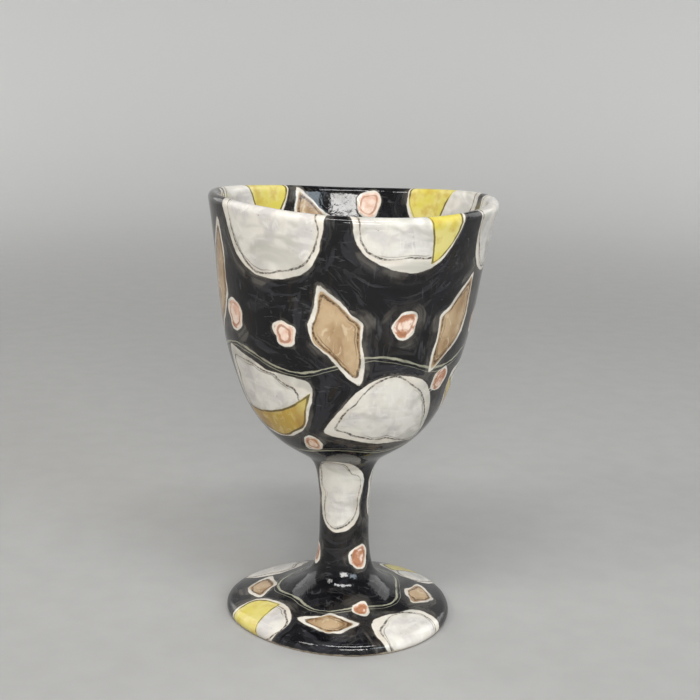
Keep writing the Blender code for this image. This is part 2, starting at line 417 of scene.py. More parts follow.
INNER_SHAPES = [
    dome(50, LIP + 63.0, 33, 24, 14, 71),
    dome(140, LIP + 48.0, 33, 24, 168, 73),
    dome(206, LIP + 66.0, 32, 24, -10, 83),
    dome(303, LIP + 49.0, 33, 24, 190, 77),
    pebble(0, FLOOR_CENTRE, 27, 27, 0, 79, 0.9, 2.1, 2.1),
]

CREAM_SHAPES = RIM_DISCS + HALF_DISCS + STEM_SHAPES + FOOT_DISCS + INNER_SHAPES

# Washes: the shape they lie in, then turn, place and tilt of the line they end at

YELLOW_SHAPES = [part_of(*row) for row in [
    (RIM_DISCS[1], 26, LIP + 3.0, 118),
    (RIM_DISCS[3], 129, LIP + 2.0, 65),
    (RIM_DISCS[4], 238, LIP - 2.0, -60),
    (HALF_DISCS[0], -42, at_height(83.0), 16),
    (HALF_DISCS[2], 88, at_height(84.5), -20),
    (HALF_DISCS[3], 160, at_height(83.0), 80),
    (FOOT_DISCS[0], -53, at_radius(33.0), -75),
    (FOOT_DISCS[2], 131, at_radius(33.0), 70),
    (INNER_SHAPES[1], 140, LIP + 61.0, 195),
    (INNER_SHAPES[3], 303, LIP + 62.0, 165),
]]

TAN_SHAPES = [lozenge(*row) for row in [
    (-4, at_height(113.0), 15.5, 34, 22, 101, 0.6),
    (53, at_height(114.0), 14.5, 33, -24, 103, 0.6),
    (108, at_height(114.5), 15.0, 34, 22, 105, 0.6),
    (152, at_height(115.5), 14.0, 31, -20, 107, 0.6),
    (186, at_height(127.0), 15.5, 37, 26, 109, 0.6),
    (258, at_height(117.0), 14.0, 30, 20, 110, 0.6),
    (288, at_height(124.0), 15.5, 38, -18, 111, 0.6),
    (-7, at_radius(29.0), 19, 9.5, 2, 113, 0.3),
    (86, at_radius(29.0), 17, 9.0, -6, 115, 0.3),
    (176, at_radius(29.5), 19, 9.5, 5, 117, 0.3),
    (265, at_radius(28.5), 15, 8.5, -5, 119, 0.3),
    (-6, LIP + 34.0, 14, 32, -24, 121, 0.5),
    (104, LIP + 28.0, 13.5, 31, 22, 123, 0.5),
    (199, LIP + 17.0, 13.5, 31, 24, 125, 0.5),
    (272, LIP + 17.0, 14, 32, -24, 127, 0.5),
    (30, FLOOR_CENTRE, 9, 17, 0, 129, 0.3),
]]

PINK_SHAPES = [pebble(*row) for row in [
    (-57, at_height(115.0), 8.0, 9.5, 20, 131, 0.4, 1.3),
    (-27, at_height(112.0), 6.5, 7.5, 0, 133, 0.4, 1.2),
    (25, at_height(115.5), 7.0, 8.5, -15, 135, 0.4, 1.2),
    (79, at_height(111.5), 7.0, 8.0, 0, 137, 0.4, 1.2),
    (130, at_height(109.0), 7.0, 8.5, 0, 139, 0.4, 1.2),
    (124, at_height(96.5), 6.5, 7.5, 0, 170, 0.3, 1.1),
    (213, at_height(115.0), 7.5, 8.0, 0, 141, 0.4, 1.2),
    (272, at_height(92.0), 7.5, 9.0, 0, 143, 0.4, 1.2),
    (53, at_height(94.0), 6.5, 7.5, 0, 165, 0.4, 1.2),
    (-22, at_height(71.5), 5.5, 6.5, 0, 168, 0.3, 1.1),
    (191, at_height(86.0), 7.0, 8.0, 0, 169, 0.3, 1.1),
    (36, at_height(23.5), 6.0, 8.0, 0, 145, 0.3, 1.1),
    (160, at_height(24.0), 5.5, 6.5, 0, 147, 0.3, 1.1),
    (278, at_height(23.0), 5.5, 6.5, 0, 149, 0.3, 1.1),
    (20, at_radius(21.5), 5.2, 4.8, 0, 151, 0.3, 1.1),
    (191, at_radius(37.5), 5.0, 4.4, 0, 153, 0.3, 1.1),
    (172, LIP + 8.0, 8.5, 9.0, 0, 155, 0.4, 1.2),
    (172, LIP + 31.0, 7.5, 7.0, 0, 159, 0.4, 1.1),
    (290, LIP + 5.0, 7.5, 7.0, 0, 161, 0.4, 1.1),
    (52, LIP + 32.0, 7.5, 7.0, 0, 163, 0.4, 1.1),
]]

# Cream left bare round a wash: its width, how uneven it is, and its least and most width

TAN_BORDER = (1.65, 1.3, 0.25, 2.3)
PINK_BORDER = (1.25, 0.5, 0.2, 1.3)

# How far out of a wash its own pencil line rules, and how far yellow and long strokes stay away

TAN_REACH = 1.6
PINK_REACH = 1.2
TAN_CLEARANCE = 1.3
PINK_CLEARANCE = 1.0
STROKE_CLEARANCE = 1.0


def bordered(edge, line, border):
    """Measure a wash with its cream border, which is wide where its pencil line runs close to its edge."""
    width, unevenness, least, most = border
    return edge - np.clip(width - unevenness * (line - edge), least, most)


def strands_on(sheet):
    """Measure the thin lines that run round the goblet.

    Every second one has its sign turned, so that the distance keeps its sign between two lines.
    """
    lines = [
        wave(sheet, at_radius(21.5), 1.3, 5, 0.0),
        -wave(sheet, at_height(68.0), 1.6, 5, 1.9),
        wave(sheet, at_height(102.0), 3.2, 5, 0.4),
        -wave(sheet, LIP + 38.0, 2.4, 6, 1.0),
    ]
    strand = lines[0]
    for other in lines[1:]:
        strand = np.where(np.abs(other) < np.abs(strand), other, strand)
    return strand


def paint(sheet):
    """Work out every painted distance at the points of a sheet."""
    cream, line = nearest(sheet, CREAM_SHAPES)
    yellow = nearest(sheet, YELLOW_SHAPES)[0]
    tan, tan_line = nearest(sheet, TAN_SHAPES)
    pink, pink_line = nearest(sheet, PINK_SHAPES)
    borders = np.minimum(bordered(tan, tan_line, TAN_BORDER), bordered(pink, pink_line, PINK_BORDER))
    layers = {
        "cream": np.minimum(cream, borders),
        "line": np.where(tan < TAN_REACH, tan_line, np.where(pink < PINK_REACH, pink_line, line)),
        "yellow": np.maximum(yellow, np.maximum(TAN_CLEARANCE - tan, PINK_CLEARANCE - pink)),
        "tan": tan,
        "pink": pink,
        "strand": strands_on(sheet),
        "sweep": np.minimum(cream, tan - STROKE_CLEARANCE),
    }
    return {name: np.clip(distance, -FAR, FAR) for name, distance in layers.items()}


def add_object(name, data):
    """Put an object in the scene."""
    added = bpy.data.objects.new(name, data)
    bpy.context.scene.collection.objects.link(added)
    return added


# Hidden points count as lying far before the visible curve, where the clay is bare

HIDDEN_PLACE = -50.0

# The pieces: each is one closed mesh that shares its border rings with its neighbours


def hand_marks(points, directions):
    """Press slow dents and faint throwing ripples into the surface."""
    pushed = points.copy()
    for spot in np.ndindex(points.shape[:2]):
        place = Vector(points[spot])
        flat_place = Vector((place.x / DENT_SIZE, place.y / DENT_SIZE, place.z / RIPPLE_SIZE))
        dent = DENT_DEPTH * noise.noise(place / DENT_SIZE)
        ripple = RIPPLE_DEPTH * noise.noise(flat_place + RIPPLE_SHIFT)
        pushed[spot] += (dent + ripple) * directions[spot]
    return pushed


def turned(curve):
    """Turn a curve into rings of points at their real places, in millimetres."""
    return settle(curve[:, 0, None], curve[:, 1, None], angles)


def turned_by_hand(curve, normals):
    """Turn a curve into rings that also bear the marks of the hand."""
    rings = turned(curve)
    out = normals[:, 0, None, None]
    up = np.broadcast_to(normals[:, 1, None], rings.shape[:2])[:, :, None]
    around = np.stack([np.cos(angles), np.sin(angles)], axis=1) * out
    calm = ease(curve[:, 1], 0.0, CALM_HEIGHT) * ease(curve[:, 0], 0.0, CALM_RADIUS)
    return hand_marks(rings, np.concatenate([around, up], axis=2) * calm[:, None, None])


def skin_faces(on_axis):
    """Join each ring to the next, and the last to the first; a ring on the axis is a single point."""
    count = len(on_axis)
    index = np.arange(count * SEGMENTS).reshape(count, SEGMENTS)
    faces = []
    for low in range(count):
        high = (low + 1) % count
        if on_axis[low] and on_axis[high]:
            continue
        here, here_next = index[low].tolist(), np.roll(index[low], -1).tolist()
        there, there_next = index[high].tolist(), np.roll(index[high], -1).tolist()
        if on_axis[high]:
            faces += [(first, second, there[0]) for first, second in zip(here, here_next)]
        elif on_axis[low]:
            faces += [(here[0], second, first) for first, second in zip(there, there_next)]
        else:
            faces += zip(here, here_next, there_next, there)
    return faces


def store(mesh, name, values, kind="FLOAT", field="value"):
    """Keep a value at each point of a mesh, for its material."""
    attribute = mesh.attributes.new(name, kind, "POINT")
    attribute.data.foreach_set(field, values.astype(np.float32).ravel())


def mark_borders(mesh, borders):
    """Keep the shading of a piece's visible side apart from its hidden side, and drop unused points."""
    shape = bmesh.new()
    shape.from_mesh(mesh)
    shape.verts.ensure_lookup_table()
    for border in borders:
        for column in range(SEGMENTS):
            first = shape.verts[border * SEGMENTS + column]
            second = shape.verts[border * SEGMENTS + (column + 1) % SEGMENTS]
            shape.edges.get((first, second)).smooth = False
    unused = [vert for vert in shape.verts if not vert.link_faces]
    bmesh.ops.delete(shape, geom=unused, context="VERTS")
    bmesh.ops.recalc_face_normals(shape, faces=shape.faces)
    shape.to_mesh(mesh)
    shape.free()


def make_piece(node, start, end, hidden):
    """Mesh one piece: the visible curve from start to end, closed by a hidden curve back to its start."""
    shown = visible[start:end + 1]
    hidden = np.array(hidden)
    rings = np.concatenate([turned_by_hand(shown, visible_normals[start:end + 1]), turned(hidden)])
    radii = np.concatenate([shown[:, 0], hidden[:, 0]])
    lengths = np.concatenate([visible_lengths[start:end + 1], np.full(len(hidden), HIDDEN_PLACE)])
    on_axis = radii < TINY
    mesh = bpy.data.meshes.new("painted_" + node)
    mesh.from_pydata((rings.reshape(-1, 3) * MM).tolist(), [], skin_faces(on_axis))
    for layer, distances in paint(Sheet(lengths, radii)).items():
        store(mesh, layer, distances)
    wrapped = np.stack(np.broadcast_arrays(
        radii[:, None] * np.cos(angles), radii[:, None] * np.sin(angles), lengths[:, None]), axis=-1)
    store(mesh, "along", np.repeat(lengths, SEGMENTS))
    store(mesh, "wrapped", wrapped * MM, "FLOAT_VECTOR", "vector")
    mesh.shade_smooth()
    mark_borders(mesh, [border for border in (0, len(shown) - 1) if not on_axis[border]])
    mesh.materials.append(painted_glaze(node + "_glaze"))
    piece = add_object("painted_" + node, mesh)
    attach(piece, "root")
    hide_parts(node)


# The painted, glazed finish

INK = (0.042, 0.034, 0.028)
BLACK = (0.0032, 0.0031, 0.0037)
BLACK_WASH = (0.007, 0.007, 0.0085)
BLACK_BROWN = (0.017, 0.012, 0.0075)
HALO = (0.098, 0.089, 0.077)
HALO_WIDE = (0.024, 0.021, 0.019)
STROKE = (0.1, 0.1, 0.105)
RUBBED = (0.13, 0.11, 0.085)
WHITE_WARM = (0.65, 0.605, 0.53)
WHITE_GREY = (0.65, 0.622, 0.567)
WHITE_LILAC = (0.485, 0.455, 0.44)
WHITE_THIN = (0.405, 0.39, 0.345)
# A paler, thicker cream, also used for painted highlight in slanted strokes on the cream
WHITE_THICK_AND_HIGHLIGHT = (0.71, 0.69, 0.64)
STAIN = (0.5, 0.42, 0.33)
SPECK = (0.23, 0.175, 0.125)
YELLOW = (0.59, 0.5, 0.085)
YELLOW_PALE = (0.64, 0.56, 0.2)
OCHRE = (0.5, 0.35, 0.075)
GOLD = (0.43, 0.27, 0.05)
GOLD_PALE = (0.53, 0.39, 0.14)
GOLD_DEEP = (0.32, 0.165, 0.03)
OLIVE = (0.085, 0.065, 0.028)
TAN = (0.3, 0.19, 0.095)
TAN_PALE = (0.45, 0.325, 0.195)
TAN_CREAM = (0.6, 0.48, 0.33)
TAN_DARK = (0.235, 0.135, 0.065)
SEPIA = (0.06, 0.034, 0.018)
PINK = (0.64, 0.4, 0.3)
PINK_PALE = (0.74, 0.59, 0.49)
RUST = (0.4, 0.185, 0.1)
PINK_DARK = (0.29, 0.13, 0.072)
STRAND = (0.36, 0.35, 0.26)
CLAY = (0.6, 0.5, 0.37)
CLAY_DARK = (0.42, 0.32, 0.215)

# Flat strokes in the black: size, stretch, shift, share left bare, strength and tone

BLACK_STROKES = [
    (9.0, (1.0, 0.7, 0.4), 0.3, 0.5, 0.85, (0.0105, 0.0105, 0.0145)),
    (6.0, (0.5, 0.8, 1.1), 1.1, 0.64, 0.8, (0.017, 0.0165, 0.018)),
    (5.0, (1.2, 0.5, 0.6), 2.3, 0.4, 0.9, (0.003, 0.003, 0.004)),
]

# Long strokes that follow the shapes: width, length, shift, where they begin and are full, strength, tone

LONG_STROKES = [
    (3.4, 13.0, 0.4, 0.53, 0.6, 0.75, (0.023, 0.023, 0.028)),
    (1.8, 9.0, 5.2, 0.58, 0.68, 0.45, (0.037, 0.035, 0.034)),
    (3.8, 16.0, 9.7, 0.55, 0.6, 0.9, (0.003, 0.003, 0.004)),
]

# Dry, thin strokes: size, stretch, shift, and the broad noise at which they begin and are full

DRY_STROKES = [
    (3.2, (1.7, 1.1, 0.32), 0.47, 0.44, 0.56),
    (2.6, (0.4, 1.2, 1.7), 0.29, 0.5, 0.38),
]

# Drawn lines: half widths in millimetres, how they vary, and the shares of them where a line ends and fills

CHARCOAL_WIDTH = 0.29
CHARCOAL_SECOND_WIDTH = 0.18
STRAND_WIDTH = 0.34
STRAND_SECOND_WIDTH = 0.2
OUTLINE_WIDTH = 0.3
RING_WIDTH = 0.34
LINE_LEAST = 0.6
LINE_GAIN = 0.8
LINE_FAINT = 1.25
LINE_FULL = 0.55

# Where a painted edge begins and is full, in millimetres

WASH_EDGE = (0.2, -0.15)
CREAM_EDGE = (0.2, -0.12)

# Heights in millimetres between which a wash has run down and gathered

POOL_TOP = (98.0, 80.0)
POOL_FOOT = (30.0, 45.0)
POOL_WAVER = 8.0

# Stretches of the patterns, the shares of a shift along x, y and z, and how the patches bend and turn

EVEN = (1.0, 1.0, 1.0)
FLAT = (0.8, 0.8, 0.5)
NOISE_WAY = (1.0, 0.7, 1.3)
STROKE_WAY = (1.0, 0.6, 1.7)
PATCH_WAVER_SIZE = 1.2
PATCH_BEND = 0.6
PATCH_LEAN = 0.4
PATCH_ROLL = 0.3

# The skin of the glaze: peel as size, shift and height, and the rise of slip and brush marks

PEEL = [(1.1, 0.61, 0.17), (6.5, 0.83, 0.22)]
SLIP_RISE = 0.18
STROKE_RISE = 0.3
BUMP_STRENGTH = 0.6
BUMP_DEPTH = 0.35
SMOOTHEST = 0.06
ROUGHNESS_GAIN = 0.09
CLAY_ROUGHNESS = 0.6
GLAZE_IOR = 1.4

# How far past the standing ring the clay stays bare, and how soft and wavy the glaze's edge is there

CLAY_REACH = 1.0
CLAY_BLUR = 0.5
CLAY_WAVER = 0.8

# The inputs and the output of a node that mixes colours

MIX_MASK = 0
MIX_UNDER = 6
MIX_OVER = 7
MIX_RESULT = 2


def per_metre(size):
    """Say how many features of a size in millimetres fit in a metre."""
    return 1.0 / (size * MM)


class Finish:
    """A material whose nodes are made and joined in plain steps."""

    def __init__(self, name):
        self.material = bpy.data.materials.new(name)
        self.material.use_nodes = True
        self.tree = self.material.node_tree
        self.shader = self.tree.nodes["Principled BSDF"]
        self.place = self.node("ShaderNodeTexCoord").outputs["Object"]

    def node(self, kind, inputs=None, **settings):
        """Add a node with its settings and inputs."""
        made = self.tree.nodes.new(kind)
        for key, value in settings.items():
            setattr(made, key, value)
        self.feed(made, inputs or {})
        return made

    def feed(self, node, inputs):
        """Join outputs to a node's inputs, or set the inputs to plain values."""
        for name, value in inputs.items():
            socket = node.inputs[name]
            if isinstance(value, bpy.types.NodeSocket):
                self.tree.links.new(value, socket)
            elif socket.type == "RGBA":
                socket.default_value = (*value, 1.0)
            else:
                socket.default_value = value

    def attribute(self, name, output="Fac"):
        """Read a value that the mesh keeps at its points."""
        return self.node("ShaderNodeAttribute", attribute_name=name).outputs[output]

    def math(self, operation, first, second=0.0, third=0.0):
        """Work out a sum with up to three values."""
        inputs = {0: first, 1: second, 2: third}
        return self.node("ShaderNodeMath", inputs, operation=operation).outputs[0]

    def both(self, first, second):
        """Multiply two values, so that two masks show where they overlap."""
        return self.math("MULTIPLY", first, second)

    def risen(self, least, gain, mask):
        """Raise a value from its least by a gain where a mask shows."""
        return self.math("ADD", least, self.both(gain, mask))

    def shaken(self, value, noise_value, amount):
        """Shift a distance in and out by noise."""
        push = self.math("SUBTRACT", noise_value, 0.5)
        return self.math("ADD", value, self.both(push, 2 * amount))

    def step(self, value, low, high):
        """Go smoothly from 0 at low to 1 at high, or back if low is the larger."""
        inputs = {0: value, 1: low, 2: high, 3: 0.0, 4: 1.0}
        return self.node("ShaderNodeMapRange", inputs, interpolation_type="SMOOTHSTEP").outputs[0]

    def lay(self, colour, tone, mask, strength=None):
        """Lay a tone over a colour where a mask shows, fully or at a strength."""
        if strength is not None:
            mask = self.both(mask, strength)
        inputs = {MIX_MASK: mask, MIX_UNDER: colour, MIX_OVER: tone}
        return self.node("ShaderNodeMix", inputs, data_type="RGBA").outputs[MIX_RESULT]

    def mapped(self, where, stretch, shift, way, turn=(0.0, 0.0, 0.0)):
        """Stretch, turn and shift a place."""
        location = [shift * share for share in way]
        inputs = {"Vector": where, "Location": location, "Rotation": turn, "Scale": stretch}
        return self.node("ShaderNodeMapping", inputs).outputs[0]

    def cloud(self, where, scale, detail=2.0, distortion=0.0, output="Fac"):
        """Make noise at a place that is already mapped."""
        inputs = {"Vector": where, "Scale": scale, "Detail": detail, "Distortion": distortion}
        return self.node("ShaderNodeTexNoise", inputs).outputs[output]

    def noise(self, size, detail=2.0, stretch=EVEN, shift=0.0, distortion=0.0, where=None):
        """Make soft noise from 0 to 1 with features of a size in millimetres."""
        place = self.mapped(where or self.place, stretch, shift, NOISE_WAY)
        return self.cloud(place, per_metre(size), detail, distortion)

    def pencil(self, distance, half_width, broken):
        """Draw a thin line where a distance is zero, thicker and thinner as broken goes up and down."""
        away = self.math("ABSOLUTE", distance)
        width = self.both(half_width, self.risen(LINE_LEAST, LINE_GAIN, broken))
        return self.step(self.math("DIVIDE", away, width), LINE_FAINT, LINE_FULL)


class Glaze(Finish):
    """Brushed slips, pencil lines and washes under a clear, glossy, faintly uneven glaze."""

    def __init__(self, name):
        super().__init__(name)
        wrapped = self.attribute("wrapped", "Vector")
        self.grain = self.noise(0.9, 2.0, shift=0.43)
        self.fine = self.noise(1.6, 3.0)
        self.small = self.noise(3.4, 3.0, shift=0.31)
        self.medium = self.noise(9.0, 3.0, shift=0.17)
        self.broad = self.noise(24.0, 2.0, shift=0.53)
        self.upright = self.noise(5.0, 4.0, (1.0, 1.0, 0.28), 0.11, 0.6, wrapped)
        self.level = self.noise(6.0, 4.0, (0.45, 0.45, 2.2), 0.23, 0.8, wrapped)
        self.slanted = self.noise(4.5, 4.0, (1.6, 0.6, 0.8), 0.77, 1.4)
        self.broken = self.step(self.noise(8.0, 3.0, shift=0.91), 0.28, 0.54)
        self.edge = self.shaken(self.shaken(self.attribute("cream"), self.fine, 0.16), self.small, 0.42)
        self.line = self.attribute("line")
        self.pencilled = self.pencil_lines()

    def coated(self, colour, coats):
        """Lay coats over a colour, each given as its tone, its mask and, if it isn't full, its strength."""
        for coat in coats:
            colour = self.lay(colour, *coat)
        return colour

    def patches(self, size, stretch, shift, bare_share):
        """Lay flat, sharp-edged strokes of unlike strength over one another."""
        waver = self.cloud(self.place, per_metre(PATCH_WAVER_SIZE * size), output="Color")
        inputs = {0: waver, 1: (PATCH_BEND * size * MM,) * 3, 2: self.place}
        bent = self.node("ShaderNodeVectorMath", inputs, operation="MULTIPLY_ADD")
        turn = (PATCH_LEAN + shift, PATCH_ROLL * shift, shift)
        place = self.mapped(bent.outputs[0], stretch, shift, STROKE_WAY, turn)
        cells = self.node("ShaderNodeTexVoronoi", {"Vector": place, "Scale": per_metre(size)})
        strength = self.node("ShaderNodeSeparateColor", {0: cells.outputs["Color"]})
        return self.step(strength.outputs[0], bare_share, 1.0)

    def contoured(self, across, along, shift, layer="sweep"):
        """Make noise in long strokes that follow the edges of the pale shapes."""
        place = self.mapped(self.place, (per_metre(along),) * 3, shift, STROKE_WAY)
        away = self.math("DIVIDE", self.shaken(self.attribute(layer), self.medium, 2.0), across)
        push = self.node("ShaderNodeCombineXYZ", {"X": away, "Y": away}).outputs[0]
        pushed = self.node("ShaderNodeVectorMath", {0: place, 1: push}, operation="ADD")
        return self.cloud(pushed.outputs[0], 1.0, 1.5)

    def pencil_lines(self):
        """Draw the charcoal line inside each shape, with a second try beside it here and there."""
        drawn = self.pencil(self.shaken(self.line, self.small, 0.45), CHARCOAL_WIDTH, self.broken)
        grain = self.risen(0.46, 0.54, self.step(self.grain, 0.36, 0.6))
        drawn = self.both(drawn, self.both(grain, self.risen(0.5, 0.42, self.broken)))
        beside = self.math("ADD", self.shaken(self.line, self.medium, 1.1), 0.9)
        again = self.pencil(beside, CHARCOAL_SECOND_WIDTH, self.broken)
        again = self.both(again, self.step(self.broad, 0.48, 0.58))
        return self.math("MAXIMUM", drawn, self.both(again, 0.5))

    def ground(self):
        """Black slip in overlapping strokes."""
        colour = self.lay(BLACK, BLACK_WASH, self.step(self.medium, 0.48, 0.75))
        for size, stretch, shift, bare_share, strength, tone in BLACK_STROKES:
            colour = self.lay(colour, tone, self.patches(size, stretch, shift, bare_share), strength)
        colour = self.lay(colour, BLACK_BROWN, self.step(self.upright, 0.56, 0.7), 0.65)
        for across, along, shift, low, high, strength, tone in LONG_STROKES:
            stroke = self.step(self.contoured(across, along, shift), low, high)
            colour = self.lay(colour, tone, stroke, strength)
        for size, stretch, shift, low, high in DRY_STROKES:
            dry = self.step(self.noise(size, 3.0, stretch, shift, 1.0), 0.59, 0.7)
            colour = self.lay(colour, STROKE, self.both(dry, self.step(self.broad, low, high)), 0.35)
        return colour

    def thinned(self, colour):
        """Thin the black to brown in brushed bands where it meets the pale shapes."""
        wide = self.both(self.step(self.edge, 7.0, 0.0), self.step(self.broad, 0.4, 0.58))
        reach = self.risen(0.9, 4.0, self.step(self.broad, 0.42, 0.62))
        band = self.math("DIVIDE", self.shaken(self.edge, self.slanted, 1.0), reach)
        brushed = self.risen(0.3, 0.7, self.step(self.contoured(1.5, 13.0, 3.3, "cream"), 0.4, 0.62))
        shown = self.both(brushed, self.step(self.medium, 0.42, 0.58))
        rub = self.both(self.step(self.edge, 0.8, 0.0), self.step(self.fine, 0.35, 0.7))
        return self.coated(colour, [
            (HALO_WIDE, wide, self.step(self.small, 0.3, 0.6)),
            (HALO, self.both(self.step(band, 1.0, 0.75), shown), 0.75),
            (RUBBED, rub, 0.6),
        ])

    def strands(self, colour):
        """Trail thin pale lines over the black, doubled in places."""
        strand = self.attribute("strand")
        full = self.step(self.medium, 0.35, 0.6)
        first = self.pencil(self.shaken(strand, self.small, 0.5), STRAND_WIDTH, full)
        beside = self.math("ADD", self.shaken(strand, self.medium, 0.9), 1.3)
        second = self.pencil(beside, STRAND_SECOND_WIDTH, self.step(self.broad, 0.45, 0.65))
        drawn = self.math("MAXIMUM", first, self.both(second, 0.6))
        return self.lay(colour, STRAND, drawn, self.risen(0.35, 0.5, self.broken))

    def white(self):
        """Cream slip: warm at its margin, greyer within, with soft strokes, stains and partly painted
        highlights.
        """
        inwards = self.step(self.shaken(self.line, self.small, 1.0), 1.0, -2.4)
        thick = self.patches(8.0, FLAT, 0.7, 0.35)
        worn = self.noise(13.0, 3.0, (0.7, 0.7, 1.0), 1.9, 0.8)
        stain = self.both(self.step(self.upright, 0.5, 0.74), self.step(self.broad, 0.4, 0.66))
        specks = self.both(self.step(self.grain, 0.685, 0.74), self.step(self.medium, 0.42, 0.6))
        smudge = self.step(self.math("ABSOLUTE", self.line), 2.0, 0.2)
        return self.coated(WHITE_WARM, [
            (WHITE_GREY, inwards, self.step(self.broad, 0.25, 0.6)),
            (WHITE_LILAC, self.step(self.medium, 0.42, 0.62), self.both(inwards, 0.85)),
            (WHITE_THICK_AND_HIGHLIGHT, self.both(thick, inwards), 0.45),
            # Paler slanted strokes: partly thicker slip, partly a painted highlight of the glossy glaze
            (WHITE_THICK_AND_HIGHLIGHT, self.step(self.slanted, 0.54, 0.68), 0.55),
            (WHITE_THICK_AND_HIGHLIGHT, self.step(self.level, 0.52, 0.66), 0.45),
            (WHITE_THIN, self.step(worn, 0.49, 0.64), 0.75),
            (STAIN, stain, 0.4),
            (SPECK, specks, 0.55),
            (STAIN, self.both(smudge, self.step(self.medium, 0.4, 0.62)), 0.3),
            (INK, self.pencilled),
        ])

    def pooled(self):
        """Say where a wash has run down and gathered: low on the bowl, above the stem."""
        height = self.node("ShaderNodeSeparateXYZ", {0: self.place}).outputs["Z"]
        height = self.shaken(self.math("DIVIDE", height, MM), self.medium, POOL_WAVER)
        return self.both(self.step(height, *POOL_TOP), self.step(height, *POOL_FOOT))

    def yellow(self, distance):
        """Thin lemon wash that pools to gold, with a dark broken outline."""
        gold = self.coated(GOLD, [
            (GOLD_PALE, self.step(self.slanted, 0.5, 0.64), 0.8),
            (GOLD_DEEP, self.step(self.medium, 0.44, 0.58), 0.8),
        ])
        inset = self.shaken(self.math("ADD", distance, 0.4), self.small, 0.4)
        outline = self.pencil(inset, OUTLINE_WIDTH, self.broken)
        return self.coated(YELLOW, [
            (YELLOW_PALE, self.step(self.medium, 0.36, 0.62)),
            (OCHRE, self.step(self.small, 0.46, 0.7), 0.7),
            (YELLOW_PALE, self.step(self.broad, 0.5, 0.66), 0.5),
            (gold, self.pooled(), 0.9),
            (OLIVE, outline, self.risen(0.35, 0.55, self.broken)),
        ])

    def tan(self, distance):
        """Tan wash with pale streaks, a darker rim and a sepia outline."""
        rim = self.both(self.step(distance, -2.2, -0.1), self.step(self.small, 0.35, 0.6))
        return self.coated(TAN, [
            (TAN_PALE, self.step(self.medium, 0.34, 0.62)),
            (TAN_DARK, self.step(self.upright, 0.52, 0.7), 0.55),
            (TAN_PALE, self.patches(7.0, FLAT, 0.9, 0.45), 0.5),
            (TAN_CREAM, self.step(self.slanted, 0.56, 0.68), 0.55),
            (TAN_DARK, rim, 0.6),
            (SEPIA, self.pencilled),
        ])

    def pink(self, distance):
        """Pink or rusty dabs with a brushed, broken ring."""
        rusty = self.step(self.broad, 0.46, 0.54)
        inset = self.shaken(self.math("ADD", distance, 1.0), self.medium, 1.5)
        ring = self.pencil(inset, RING_WIDTH, self.broken)
        return self.coated(PINK, [
            (PINK_PALE, self.step(self.small, 0.38, 0.62)),
            (RUST, rusty, self.step(self.small, 0.6, 0.42)),
            (PINK_DARK, ring, self.risen(0.3, 0.45, self.broken)),
        ])

    def colours(self):
        """Lay all the colours over the black ground."""
        yellow, tan, pink = map(self.attribute, ("yellow", "tan", "pink"))
        cream_mask = self.step(self.edge, *CREAM_EDGE)
        colour = self.lay(self.strands(self.thinned(self.ground())), self.white(), cream_mask)
        yellow_mask = self.step(self.shaken(yellow, self.small, 0.4), *WASH_EDGE)
        colour = self.lay(colour, self.yellow(yellow), self.both(cream_mask, yellow_mask))
        tan_mask = self.step(self.shaken(tan, self.small, 0.4), *WASH_EDGE)
        colour = self.lay(colour, self.tan(tan), tan_mask)
        pink_mask = self.step(self.shaken(pink, self.fine, 0.3), *WASH_EDGE)
        return self.lay(colour, self.pink(pink), pink_mask)

    def relief(self):
        """Raise the slips a little, and leave brush marks and a soft orange-peel skin."""
        peels = [self.both(self.noise(size, 1.0, shift=shift), height) for size, shift, height in PEEL]
        slip = self.both(self.step(self.edge, 0.5, -0.3), SLIP_RISE)
        marks = self.math("ADD", slip, self.both(self.slanted, STROKE_RISE))
        height = self.math("ADD", self.math("ADD", *peels), marks)
        inputs = {"Strength": BUMP_STRENGTH, "Distance": BUMP_DEPTH * MM, "Height": height}
        return self.node("ShaderNodeBump", inputs).outputs[0]


def painted_glaze(name):
    """Make the finish of one piece, bare clay underneath and where it stands."""
    glaze = Glaze(name)
    clay_end = visible_lengths[under_count] + CLAY_REACH
    along = glaze.shaken(glaze.attribute("along"), glaze.small, CLAY_WAVER)
    bare = glaze.step(along, clay_end + CLAY_BLUR, clay_end - CLAY_BLUR)
    clay = glaze.lay(CLAY, CLAY_DARK, glaze.step(glaze.medium, 0.35, 0.65))
    gloss = glaze.risen(SMOOTHEST, ROUGHNESS_GAIN, glaze.step(glaze.medium, 0.35, 0.75))
    glaze.feed(glaze.shader, {
        "Base Color": glaze.lay(glaze.colours(), clay, bare),
        "Roughness": glaze.math("ADD", gloss, glaze.both(bare, CLAY_ROUGHNESS)),
        "IOR": GLAZE_IOR,
        "Normal": glaze.relief(),
    })
    return glaze.material


# How far out and up the middle of the bore's rounded crown lies, as a share of the bore's radius

CROWN_SHARE = 0.7
FILLET_BORE = STEM_END_RADIUS + JOINT_GAP
FOOT_TOP = STEM_FOOT_HEIGHT - JOINT_GAP
STEM_TOP = STEM_TOP_HEIGHT - JOINT_GAP
low_joint = visible[foot_fillet_end, 1]
high_joint = visible[stem_end, 1]

# The pieces, each with the hidden curve that closes it, as (radius, height) points

